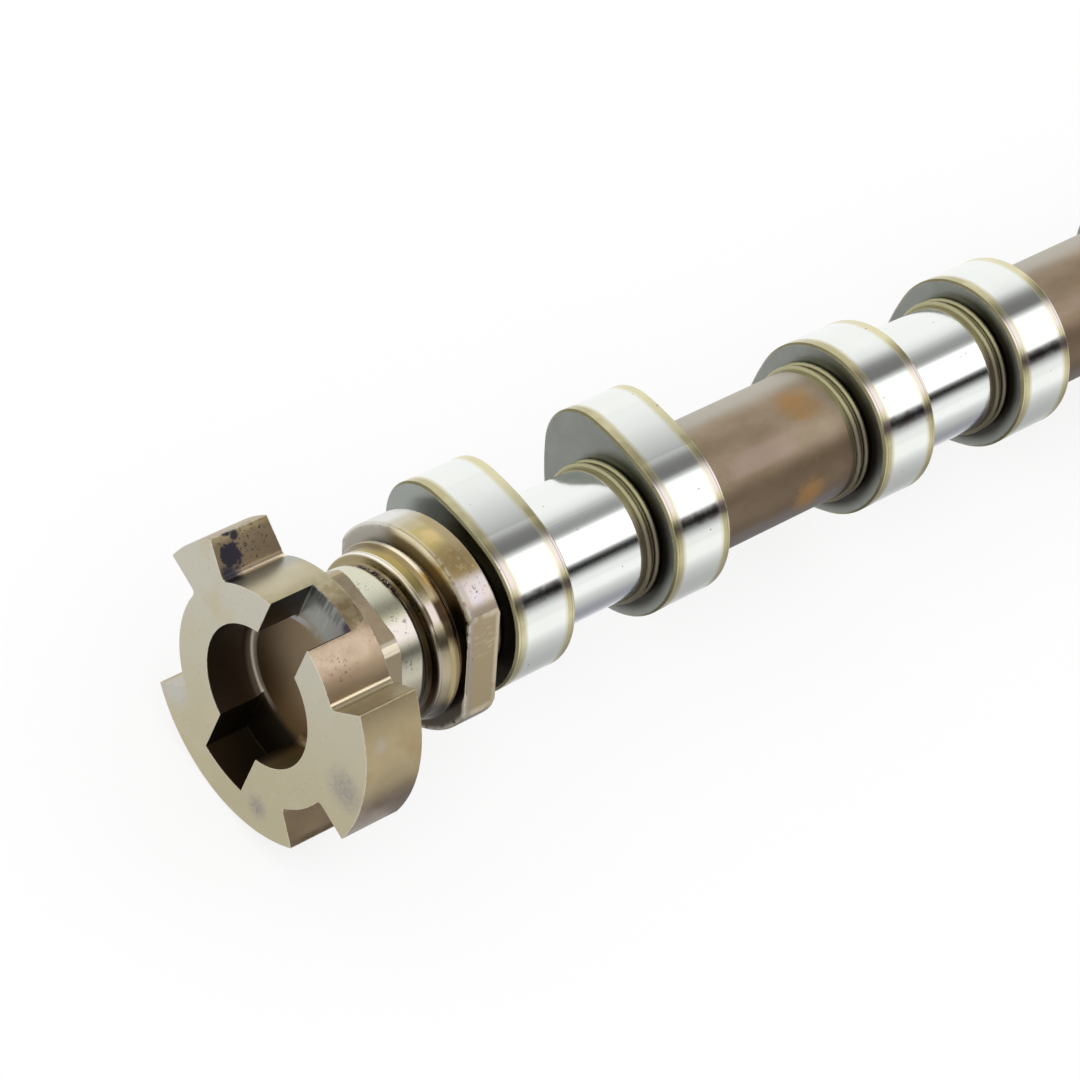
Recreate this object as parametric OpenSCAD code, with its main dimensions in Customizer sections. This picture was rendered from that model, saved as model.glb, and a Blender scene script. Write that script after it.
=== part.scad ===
// Assembled camshaft of a four-cylinder engine, with a three-claw signal wheel at one end.
// The shaft lies along +X with the claw wheel's front face at X = 0, and +Z is up as it lies at rest.
// Turns about the shaft are in degrees from +Y towards +Z.

/* [Node] */
// Which piece to show

/* [Layout] */
// Distance between cylinders
cylinder_pitch = 84.5; // [75:0.5:100]
// Distance between the two cams of one cylinder
cam_spacing = 35; // [30:0.5:45]
// From the front face to the middle of the first pair of cams
first_pair = 64.2; // [60:0.1:80]
// From the middle of the last pair of cams to the far end of the tube
tail = 34; // [28:0.5:60]
// Turn of the bow-tie slot's open end, as the shaft lies at rest
rest_turn = 90; // [-180:0.5:180]

/* [Cams] */
// Radius of the base circle
cam_base_r = 15.6; // [14:0.1:20]
// Lift of the valve side
cam_lift = 5.4; // [4:0.1:9]
// Radius of the nose
cam_nose_r = 9.4; // [5:0.1:12]
// Turn from the nose to where the flank meets the base circle
cam_flank_turn = 66; // [60:0.5:72]
// Width of a cam
cam_w = 12.8; // [9:0.1:16]
// Chamfer on the edges of a cam
cam_chamfer = 0.4; // [0.2:0.1:1.5]
// Turn of the first cam's nose from the slot's open end
first_nose_turn = -61.4; // [-180:0.1:180]

/* [Tube] */
// Diameter of the rough tube
tube_d = 23.3; // [20:0.1:30]
// Diameter of the ground bearing lands
journal_d = 23; // [20:0.1:30]
// Diameter of the hole through the tube
tube_bore_d = 16; // [8:0.5:18]
// Diameter of the seat reamed in the tube's far mouth
mouth_d = 16.6; // [8.2:0.1:18.6]
// Depth of that seat
mouth_l = 9.5; // [4:0.1:10]
// Height of a rolled bead over the rough tube
bead_h = 0.75; // [0.3:0.05:1.2]
// Distance between the two beads in front of a cam
bead_pitch = 1.75; // [1:0.05:3]

/* [Claw wheel] */
// Diameter over the claws
claw_d = 51.4; // [45:0.1:70]
// Diameter of the wheel's hub
hub_d = 37.6; // [30:0.1:45]
// Thickness of the wheel
wheel_t = 12.1; // [8:0.1:20]
// Thickness of a claw at its tip, where its sloping back ends
claw_tip_t = 11.2; // [7:0.1:20]
// Width of the narrow claw, in degrees
narrow_claw = 26.4; // [15:0.1:40]
// Width of the middle claw, in degrees
middle_claw = 58.5; // [40:0.1:70]
// Width of the wide claw, in degrees
wide_claw = 86.5; // [70:0.1:110]
// Middle of the narrow claw from the slot's open end
narrow_claw_turn = -63; // [-90:0.1:-40]
// Middle of the middle claw from the slot's open end
middle_claw_turn = 74; // [50:0.1:110]
// Fillet at the root of a claw
root_fillet = 0.9; // [0.3:0.1:2]

/* [Drive recess] */
// Diameter of the round recess
recess_d = 24.2; // [18:0.1:30]
// Depth of the recess and of its slot
recess_depth = 8.5; // [5:0.1:11]
// Fillet round the floor of the recess
recess_fillet = 1.5; // [0.3:0.1:3]
// Width of the slot across the recess
slot_w = 9.5; // [6:0.1:14]
// Radius at which the slot's closed end stops
slot_end_r = 20.4; // [19.5:0.1:23]

/* [Neck, collars and flange] */
// Width across the flats of the hexagon
hex_af = 27; // [24:0.5:36]
// Diameter over the hexagon's turned corners
hex_corner_d = 30.6; // [25:0.1:41]
// Chamfer at the back of the hexagon's corners, along the shaft
hex_chamfer = 0.3; // [0.1:0.1:2]
// Length of the hexagon
hex_l = 5.9; // [3:0.1:12]
// Turn of one hexagon flat from the slot's open end
hex_turn = 2; // [-30:0.1:30]
// Diameter of the ground neck
neck_d = 26; // [23:0.1:30]
// Length of the neck up to its undercut
neck_l = 5.7; // [4:0.1:20]
// Diameter of the first collar
collar_1_d = 28.6; // [26:0.1:34]
// Diameter of the second collar
collar_2_d = 30.2; // [27:0.1:36]
// Diameter of the flange
flange_d = 35.4; // [30:0.1:40]
// Thickness of the flange
flange_t = 6.6; // [4:0.1:10]
// Width across the flange's two flats
flange_af = 30; // [26:0.5:34]
// Turn of the flange's flats from the slot's open end
flange_flat_turn = 67.6; // [0:0.1:180]
// Length of the spigot that fills the tube's mouth
spigot_l = 18; // [10:1:30]

/* [Hidden] */
cylinders = 4;
// Order of the four cylinders' noses for a 1-3-4-2 firing order
nose_steps = [0, -90, 90, 180];
$fn = 96;

neck_x = wheel_t + hex_l;
undercut_x = neck_x + neck_l;
collar_1_x = undercut_x + 1.7;
collar_2_x = collar_1_x + 3;
flange_x = collar_2_x + 1.6;
tube_x = flange_x + flange_t;
tube_end_x = first_pair + (cylinders - 1) * cylinder_pitch + tail;
tube_r = tube_d / 2;
journal_r = journal_d / 2;

nose_c = cam_base_r + cam_lift - cam_nose_r;
flank_over = (pow(nose_c, 2) - pow(cam_base_r - cam_nose_r, 2))
    / (2 * (cam_base_r - cam_nose_r - nose_c * cos(cam_flank_turn)));
cam_flank_r = cam_base_r + flank_over;
flank_centre = -flank_over * [cos(cam_flank_turn), sin(cam_flank_turn)];
nose_turn = atan2(-flank_centre.y, nose_c - flank_centre.x);

function polar(r, turn) = [r * cos(turn), r * sin(turn)];
function arc_points(centre, r, from, to, steps) =
    [for (n = [0 : steps]) centre + polar(r, from + (to - from) * n / steps)];
function cam_x(pair, side) = first_pair + pair * cylinder_pitch + (side - 0.5) * cam_spacing;

// Puts something drawn about the Z axis on the shaft, x from the front face
module on_shaft(x = 0, turn = 0) {
    rotate([90, 0, 90]) translate([0, 0, x]) rotate([0, 0, turn + rest_turn]) children();
}

// Round disc with chamfered edges
module cam_disc(r) {
    rotate_extrude($fn = 180)
        polygon([[0, 0], [r - cam_chamfer, 0], [r, cam_chamfer], [r, cam_w - cam_chamfer],
            [r - cam_chamfer, cam_w], [0, cam_w]]);
}

// The part of a chamfered disc that lies inside an outline
module disc_sector(r, centre, outline) {
    intersection() {
        translate([centre.x, centre.y, 0]) cam_disc(r);
        linear_extrude(cam_w) polygon(outline);
    }
}

module cam_flank() {
    disc_sector(cam_flank_r, flank_centre, [[0, 0], [nose_c, 0],
        flank_centre + polar(cam_flank_r + 5, nose_turn), polar(cam_base_r + 5, cam_flank_turn)]);
}

// Three-arc cam: base circle, two flanks and the nose, with the nose along +X
module cam_body() {
    far = 3 * cam_base_r;
    disc_sector(cam_base_r, [0, 0], [[0, 0], polar(far, cam_flank_turn), [-far, far],
        [-far, -far], polar(far, -cam_flank_turn)]);
    disc_sector(cam_nose_r, [nose_c, 0], [[nose_c, 0], [nose_c, 0] + polar(far, nose_turn),
        [nose_c + far, 0], [nose_c, 0] + polar(far, -nose_turn)]);
    cam_flank();
    mirror([0, 1, 0]) cam_flank();
    translate([0, 0, cam_chamfer]) linear_extrude(cam_w - 2 * cam_chamfer) {
        circle(cam_base_r - cam_chamfer);
        polygon([[0, -cam_base_r + 2 * cam_chamfer], [nose_c + cam_nose_r / 3, -0.8 * cam_nose_r],
            [nose_c + cam_nose_r / 3, 0.8 * cam_nose_r], [0, cam_base_r - 2 * cam_chamfer]]);
    }
}

module cam_lobe(pair, side) {
    color("#c9c8bd") on_shaft(cam_x(pair, side) - cam_w / 2, first_nose_turn + nose_steps[pair])
        difference() {
            cam_body();
            translate([0, 0, -1]) cylinder(r = tube_r, h = cam_w + 2);
        }
}

module cam_lobe_1() { cam_lobe(0, 0); }
module cam_lobe_2() { cam_lobe(0, 1); }
module cam_lobe_3() { cam_lobe(1, 0); }
module cam_lobe_4() { cam_lobe(1, 1); }
module cam_lobe_5() { cam_lobe(2, 0); }
module cam_lobe_6() { cam_lobe(2, 1); }
module cam_lobe_7() { cam_lobe(3, 0); }
module cam_lobe_8() { cam_lobe(3, 1); }

// Half section of one rolled bead, x along the shaft
module bead_section(x) {
    translate([tube_r + bead_h - 0.55, x]) circle(0.55, $fn = 32);
    translate([tube_r - 0.3, x - 0.55]) square([0.3 + bead_h - 0.55, 1.1]);
}

// Ground land between the two cams of a pair, sunk a little into the rough tube
module journal_cut(pair) {
    front = cam_x(pair, 0) + cam_w / 2;
    back = cam_x(pair, 1) - cam_w / 2 - 2 * bead_pitch - 0.3;
    translate([journal_r, front]) square([5, back - front]);
}

module shaft_tube() {
    color("#8a7767") on_shaft() rotate_extrude() {
        difference() {
            polygon([[tube_bore_d / 2, tube_x], [tube_r, tube_x], [tube_r, tube_end_x - 1],
                [tube_r - 1, tube_end_x], [mouth_d / 2, tube_end_x],
                [mouth_d / 2, tube_end_x - mouth_l], [tube_bore_d / 2, tube_end_x - mouth_l]]);
            for (pair = [0 : cylinders - 1]) journal_cut(pair);
        }
        for (pair = [0 : cylinders - 1], side = [0, 1], n = [0, 1])
            bead_section(cam_x(pair, side) - cam_w / 2 - 0.7 - n * bead_pitch);
    }
}

// Flat shape of one claw, from inside the hub to the claw circle
module claw_shape(width, turn) {
    rotate(turn) intersection() {
        circle(claw_d / 2, $fn = 180);
        polygon([[0, 0], polar(claw_d, -width / 2), [claw_d * 1.5, 0], polar(claw_d, width / 2)]);
    }
    for (side = [-1, 1]) rotate(turn + side * width / 2) root_corner(side);
}

// Fillet between the hub and a claw's side, which lies along +X here
module root_corner(side) {
    centre_r = hub_d / 2 + root_fillet;
    swing = asin(root_fillet / centre_r);
    centre = [centre_r * cos(swing), side * root_fillet];
    polygon([[hub_d / 2 - 1, -side * 0.3], [centre.x, -side * 0.3],
        each arc_points(centre, root_fillet, -side * 90, -side * (180 - swing), 5),
        polar(hub_d / 2 - 1, side * swing)]);
}

module wheel_shape() {
    circle(hub_d / 2, $fn = 180);
    claw_shape(narrow_claw, narrow_claw_turn);
    claw_shape(middle_claw, middle_claw_turn);
    claw_shape(wide_claw, 180);
}

// The wheel is flat in front, and the backs of its claws slope forward to their tips
module claw_wheel() {
    root_r = hub_d / 2 + 1.2 * root_fillet;
    slope = (wheel_t - claw_tip_t) / (claw_d / 2 - root_r);
    intersection() {
        linear_extrude(wheel_t) wheel_shape();
        rotate_extrude($fn = 180)
            polygon([[0, -1], [claw_d, -1], [claw_d, wheel_t - slope * (claw_d - root_r)],
                [root_r, wheel_t], [root_r, wheel_t + 1], [0, wheel_t + 1]]);
    }
}

// Slot across the recess: open through the hub's rim one way, closed the other
module slot_shape() {
    translate([0, -slot_w / 2]) square([hub_d, slot_w]);
    intersection() {
        circle(slot_end_r);
        translate([-hub_d, -slot_w / 2]) square([hub_d, slot_w]);
    }
}

// Round recess with a filleted floor, and the slot at the same depth
module drive_recess() {
    recess_r = recess_d / 2;
    edge = [recess_r - recess_fillet, recess_depth - recess_fillet];
    rotate_extrude()
        polygon([[0, -1], [recess_r, -1], each arc_points(edge, recess_fillet, 0, 90, 8),
            [0, recess_depth]]);
    translate([0, 0, -1]) linear_extrude(recess_depth + 1) slot_shape();
}

// Hexagon behind the wheel, with its corners turned down and chamfered at the back
module hexagon() {
    corner_r = hex_corner_d / 2;
    intersection() {
        translate([0, 0, wheel_t - 1]) linear_extrude(hex_l + 1)
            rotate(hex_turn + 30) circle(hex_af / 2 / cos(30), $fn = 6);
        rotate_extrude($fn = 180)
            polygon([[0, wheel_t - 2], [corner_r, wheel_t - 2], [corner_r, neck_x - hex_chamfer],
                [corner_r - 2 * hex_chamfer, neck_x], [corner_r - 2 * hex_chamfer, neck_x + 1],
                [0, neck_x + 1]]);
    }
}

// Half section of the turned stretch from the neck to the spigot
module turned_section() {
    neck_r = neck_d / 2;
    collar_1_r = collar_1_d / 2;
    collar_2_r = collar_2_d / 2;
    flange_r = flange_d / 2;
    spigot_r = tube_bore_d / 2;
    lip = 0.6;
    polygon([[0, wheel_t - 1], [neck_r, wheel_t - 1], [neck_r, undercut_x - 0.5],
        [neck_r - 0.6, undercut_x - 0.1], [neck_r - 0.6, undercut_x + 0.4],
        [neck_r, undercut_x + 0.9],
        each arc_points([collar_1_r - lip, collar_1_x], lip, -90, 30, 6),
        [collar_2_r - 0.6, collar_2_x - 1],
        each arc_points([collar_2_r - lip, collar_2_x], lip, -60, 90, 7),
        [collar_2_r - 1.5, collar_2_x + lip + 0.3], [collar_2_r - 1.5, flange_x - 0.3],
        [collar_2_r - 1.2, flange_x], [flange_r - 0.4, flange_x],
        [flange_r, flange_x + 0.4], [flange_r, tube_x - 0.6], [flange_r - 0.6, tube_x],
        [spigot_r, tube_x], [spigot_r, tube_x + spigot_l - 1],
        [spigot_r - 1, tube_x + spigot_l], [0, tube_x + spigot_l]]);
}

// What the two flats take off the flange
module flange_flats() {
    for (side = [0, 180]) rotate([0, 0, flange_flat_turn + side])
        translate([flange_af / 2, -flange_d / 2, flange_x - 0.1])
            cube([flange_d, flange_d, flange_t + 0.2]);
}

module end_piece() {
    color("#b9af93") on_shaft() difference() {
        union() {
            claw_wheel();
            hexagon();
            rotate_extrude() turned_section();
        }
        drive_recess();
        flange_flats();
    }
}

end_piece();
shaft_tube();
cam_lobe_1();
cam_lobe_2();
cam_lobe_3();
cam_lobe_4();
cam_lobe_5();
cam_lobe_6();
cam_lobe_7();
cam_lobe_8();
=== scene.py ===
"""Assembled camshaft with a three-claw signal wheel, seen from above its claw end."""
import math

import bmesh
import bpy
from mathutils import Matrix, Vector

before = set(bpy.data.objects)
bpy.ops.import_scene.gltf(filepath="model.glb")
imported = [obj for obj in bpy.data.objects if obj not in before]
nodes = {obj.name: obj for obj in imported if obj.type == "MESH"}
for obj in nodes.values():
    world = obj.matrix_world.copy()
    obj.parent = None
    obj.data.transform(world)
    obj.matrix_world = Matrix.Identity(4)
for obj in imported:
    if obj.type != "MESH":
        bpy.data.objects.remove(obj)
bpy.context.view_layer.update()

# Where the forms lie, in millimetres along the shaft from the wheel's front face, as in the solids
WHEEL_BACK = 12.1
HEX_BACK = 18.0
UNDERCUT = 23.7
COLLAR_1 = 25.4
COLLAR_2 = 28.4
FLANGE = 30.0
FLANGE_MIDDLE = 33.3
FIRST_PAIR = 64.2
CYLINDER_PITCH = 84.5
CAM_SPACING = 35.0
PAIR_MIDDLES = [FIRST_PAIR + CYLINDER_PITCH * pair for pair in range(4)]
CAM_MIDDLES = [middle + side * CAM_SPACING / 2 for middle in PAIR_MIDDLES for side in (-1, 1)]

# Other sizes in millimetres
HUB_R = 18.8
RECESS_R = 12.1
RECESS_FLOOR = 8.5
SLOT_HALF = 4.75
SLOT_ENDS = (-20.6, 19.2)
CAM_WIDTH = 12.8
EDGE_R = 0.25

# The ground land and the two sets of beads, from and to, counted from the middle of a pair of cams
LAND_REACH = (-11.2, 7.2)
BEADS_REACH = ((7.25, 11.2), (-27.8, -23.8))

# Turn of the flange's flats round the shaft
FLATS_TURN = math.radians(157.6)

# Colour of the painted highlight along the fillets at the claws' roots
ROOT_HIGHLIGHT = (1.0, 0.87, 0.63)

# First, second and outgoing socket of a Mix node, for each kind of value
MIX_SOCKETS = {"FLOAT": (2, 3, 0), "VECTOR": (4, 5, 1), "RGBA": (6, 7, 2)}


class Paint:
    """A material, with short ways to make and join its nodes."""

    def __init__(self, name):
        self.material = bpy.data.materials.new(name)
        self.material.use_nodes = True
        self.tree = self.material.node_tree
        self.tree.nodes.clear()
        self.output = self.node("ShaderNodeOutputMaterial")

    def node(self, kind, **settings):
        made = self.tree.nodes.new(kind)
        for name, value in settings.items():
            setattr(made, name, value)
        return made

    def plug(self, value, socket):
        """Joins another node's output to this socket, or sets a plain value on it."""
        if isinstance(value, bpy.types.NodeSocket):
            self.tree.links.new(value, socket)
        elif socket.type == "RGBA" and len(value) == 3:
            socket.default_value = (*value, 1.0)
        else:
            socket.default_value = value

    def calc(self, operation, *values):
        """A sum of any kind: ADD, MULTIPLY, ABSOLUTE and so on."""
        made = self.node("ShaderNodeMath", operation=operation)
        for number, value in enumerate(values):
            self.plug(value, made.inputs[number])
        return made.outputs[0]

    def parts(self, vector):
        """The x, y and z of a place or a direction."""
        made = self.node("ShaderNodeSeparateXYZ")
        self.plug(vector, made.inputs[0])
        return made.outputs[0], made.outputs[1], made.outputs[2]

    def mix(self, share, first, second, kind="RGBA"):
        """The first colour where the share is 0, and the second where it is 1."""
        made = self.node("ShaderNodeMix", data_type=kind)
        first_socket, second_socket, result = MIX_SOCKETS[kind]
        self.plug(share, made.inputs["Factor"])
        self.plug(first, made.inputs[first_socket])
        self.plug(second, made.inputs[second_socket])
        return made.outputs[result]

    def shades(self, value, *stops):
        """Colours along a value from 0 to 1."""
        made = self.node("ShaderNodeValToRGB")
        ramp = made.color_ramp
        while len(ramp.elements) < len(stops):
            ramp.elements.new(1.0)
        for element, (position, colour) in zip(ramp.elements, stops):
            element.position = position
            element.color = (*colour, 1.0)
        self.plug(value, made.inputs["Fac"])
        return made.outputs["Color"]

    def show(self, share, first, second):
        """Puts a mixture of two shaders on the surface."""
        made = self.node("ShaderNodeMixShader")
        for number, value in enumerate((share, first, second)):
            self.plug(value, made.inputs[number])
        self.plug(made.outputs[0], self.output.inputs["Surface"])
        return self.material


class Finish(Paint):
    """A metal finish that reads the place on the shaft.

    x, y, z and r, the distance from the axis, are in millimetres. The turn is in degrees round the shaft:
    0 at +Y, 90 on top, 180 at -Y, the camera's side, and -90 or 270 underneath.
    """

    def __init__(self, name):
        super().__init__(name)
        self.shader = self.node("ShaderNodeBsdfPrincipled")
        self.shader.inputs["Metallic"].default_value = 1.0
        self.plug(self.shader.outputs["BSDF"], self.output.inputs["Surface"])
        coordinates = self.node("ShaderNodeTexCoord")
        scaled = self.node("ShaderNodeVectorMath", operation="SCALE")
        self.plug(coordinates.outputs["Object"], scaled.inputs[0])
        scaled.inputs["Scale"].default_value = 1000.0
        self.place = scaled.outputs[0]
        self.x, self.y, self.z = self.parts(self.place)
        self.facing_x, self.facing_y, self.facing_z = self.parts(coordinates.outputs["Normal"])
        self.r = self.calc("SQRT", self.calc("ADD", self.calc("MULTIPLY", self.y, self.y),
                                             self.calc("MULTIPLY", self.z, self.z)))
        angle = self.calc("DEGREES", self.calc("ARCTAN2", self.z, self.y))
        from_below = self.calc("FLOORED_MODULO", self.calc("ADD", angle, 90.0), 360.0)
        self.turn = self.calc("SUBTRACT", from_below, 90.0)
        self.corner = self.node("ShaderNodeBevel", samples=6)
        self.corner.inputs["Radius"].default_value = EDGE_R / 1000

    def joined(self, x, y, z):
        """One place or direction made of these three."""
        made = self.node("ShaderNodeCombineXYZ")
        for number, value in enumerate((x, y, z)):
            self.plug(value, made.inputs[number])
        return made.outputs[0]

    def rise(self, value, low, high):
        """0 below low and 1 above high, the other way round if low is the greater."""
        made = self.node("ShaderNodeMapRange", interpolation_type="SMOOTHSTEP")
        self.plug(value, made.inputs["Value"])
        if low > high:
            low, high = high, low
            made.inputs["To Min"].default_value = 1.0
            made.inputs["To Max"].default_value = 0.0
        made.inputs["From Min"].default_value = low
        made.inputs["From Max"].default_value = high
        return made.outputs["Result"]

    def band(self, value, low, high, soft=0.1):
        """1 between low and high."""
        return self.calc("MULTIPLY", self.rise(value, low - soft, low + soft),
                         self.rise(value, high + soft, high - soft))

    def past(self, low, high):
        """1 beyond this turn round the shaft, fading out underneath."""
        return self.calc("MULTIPLY", self.rise(self.turn, low, high), self.rise(self.turn, 262, 232))

    def before(self, low, high):
        """1 short of this turn round the shaft, fading out underneath."""
        return self.calc("MULTIPLY", self.rise(self.turn, high, low), self.rise(self.turn, -86, -60))

    def both(self, *masks):
        """1 only where all of these are 1."""
        result = masks[0]
        for mask in masks[1:]:
            result = self.calc("MULTIPLY", result, mask)
        return result

    def either(self, *masks):
        """1 where any of these is 1."""
        result = masks[0]
        for mask in masks[1:]:
            result = self.calc("MAXIMUM", result, mask)
        return result

    def spread(self, size, shift, stretch=(1, 1, 1), of=None):
        """The place on the shaft, scaled so that this size is 1, and shifted."""
        made = self.node("ShaderNodeVectorMath", operation="MULTIPLY_ADD")
        self.plug(self.place if of is None else of, made.inputs[0])
        made.inputs[1].default_value = tuple(part / size for part in stretch)
        made.inputs[2].default_value = (shift, shift * 0.7, -shift)
        return made.outputs[0]

    def cloud(self, size, detail=3.0, roughness=0.5, stretch=(1, 1, 1), shift=0.0, of=None):
        """Soft noise from 0 to 1 with blotches of this size, finer the more detail it has."""
        made = self.node("ShaderNodeTexNoise")
        made.inputs["Scale"].default_value = 1.0
        made.inputs["Detail"].default_value = detail
        made.inputs["Roughness"].default_value = roughness
        self.plug(self.spread(size, shift, stretch, of), made.inputs["Vector"])
        return made.outputs["Fac"]

    def specks(self, size, share, reach=0.35, shift=0.0):
        """Small round marks: 1 on a speck. The share is how many cells of this size hold one."""
        made = self.node("ShaderNodeTexVoronoi")
        made.inputs["Scale"].default_value = 1.0
        self.plug(self.spread(size, shift), made.inputs["Vector"])
        chance = self.parts(made.outputs["Color"])[0]
        return self.both(self.rise(made.outputs["Distance"], reach, reach * 0.6),
                         self.rise(chance, share, share * 0.9))

    def dirt(self, grain, amount, shift=0.0):
        """Ragged small marks of no fixed shape: a greater amount leaves fewer."""
        return self.rise(self.cloud(grain, 4, 0.75, shift=shift), amount, amount + 0.03)

    def near(self, x, y, z, reach, soft=1.0, rough=0.6, grain=1.6):
        """A blot round one place on the shaft, ragged unless rough is 0."""
        away = self.node("ShaderNodeVectorMath", operation="DISTANCE")
        self.plug(self.place, away.inputs[0])
        away.inputs[1].default_value = (x, y, z)
        distance = away.outputs["Value"]
        if rough:
            distance = self.calc("MULTIPLY_ADD", self.cloud(grain, 4, 0.6, shift=x), -2 * rough * reach,
                                 self.calc("ADD", distance, rough * reach))
        return self.rise(distance, reach + soft, reach - soft)

    def beside(self, *places):
        """1 close to any of these places, each given as x, y, z and its reach."""
        return self.either(*(self.near(x, y, z, reach, reach * 0.6, 0) for x, y, z, reach in places))

    def tint(self, colour, mask, strength, other):
        """Lays the other colour over this one where the mask is 1, at this strength."""
        return self.mix(self.calc("MULTIPLY", mask, strength), colour, other)

    def level(self, share, first, second):
        """The first number where the share is 0, and the second where it is 1."""
        return self.mix(share, first, second, "FLOAT")

    def edges(self):
        """1 along the edges of the solid, outer and inner ones alike."""
        surface = self.node("ShaderNodeNewGeometry")
        made = self.node("ShaderNodeVectorMath", operation="DOT_PRODUCT")
        self.plug(self.corner.outputs["Normal"], made.inputs[0])
        self.plug(surface.outputs["Normal"], made.inputs[1])
        return self.rise(made.outputs["Value"], 0.995, 0.93)

    def hollows(self, reach):
        """1 deep in the inner corners, where the surface is hemmed in."""
        made = self.node("ShaderNodeAmbientOcclusion", samples=6, only_local=True)
        made.inputs["Distance"].default_value = reach / 1000
        return self.rise(made.outputs["AO"], 0.85, 0.35)

    def rounded(self, where, radius):
        """Lets the edges here read as rounded over by this many millimetres."""
        self.plug(self.level(where, EDGE_R / 1000, radius / 1000), self.corner.inputs["Radius"])

    def follow_circle(self, where=1.0):
        """Evens out the normals of the turned surfaces here, so that they run smoothly round the shaft."""
        squared = self.calc("MULTIPLY", self.facing_x, self.facing_x)
        across = self.calc("SQRT", self.calc("MAXIMUM", 0.0, self.calc("SUBTRACT", 1.0, squared)))
        share = self.calc("DIVIDE", across, self.r)
        even = self.joined(self.facing_x, self.calc("MULTIPLY", self.y, share),
                           self.calc("MULTIPLY", self.z, share))
        outward = self.calc("ADD", self.calc("MULTIPLY", self.y, self.facing_y),
                            self.calc("MULTIPLY", self.z, self.facing_z))
        stray = self.calc("SUBTRACT", 1.0,
                          self.calc("DIVIDE", outward, self.calc("MULTIPLY", self.r, across)))
        kept = self.joined(self.facing_x, self.facing_y, self.facing_z)
        turned = self.calc("MULTIPLY", self.rise(stray, 0.0055, 0.0032), where)
        smooth = self.mix(turned, kept, even, "VECTOR")
        placed = self.node("ShaderNodeVectorTransform", vector_type="NORMAL", convert_from="OBJECT",
                           convert_to="WORLD")
        self.plug(smooth, placed.inputs[0])
        self.plug(placed.outputs[0], self.corner.inputs["Normal"])

    def relief(self, height, depth):
        """Bump of this depth in millimetres, over slightly rounded edges."""
        bump = self.node("ShaderNodeBump")
        bump.inputs["Distance"].default_value = depth / 1000
        self.plug(height, bump.inputs["Height"])
        self.plug(self.corner.outputs["Normal"], bump.inputs["Normal"])
        self.plug(bump.outputs["Normal"], self.shader.inputs["Normal"])

    def wear(self, colour, roughness, metallic=None):
        """Gives the surface its colour and gloss, and returns the material."""
        self.plug(colour, self.shader.inputs["Base Color"])
        self.plug(roughness, self.shader.inputs["Roughness"])
        if metallic is not None:
            self.plug(metallic, self.shader.inputs["Metallic"])
        return self.material


def grinding(finish, along=0.16, around=30.0, shift=0.0):
    """Fine lines that run round the shaft, as a lathe or a grinding wheel leaves them."""
    return finish.cloud(1.0, 2, 0.6, shift=shift, of=finish.joined(
        finish.calc("DIVIDE", finish.x, along), finish.calc("DIVIDE", finish.turn, around),
        finish.calc("DIVIDE", finish.r, along)))


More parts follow.
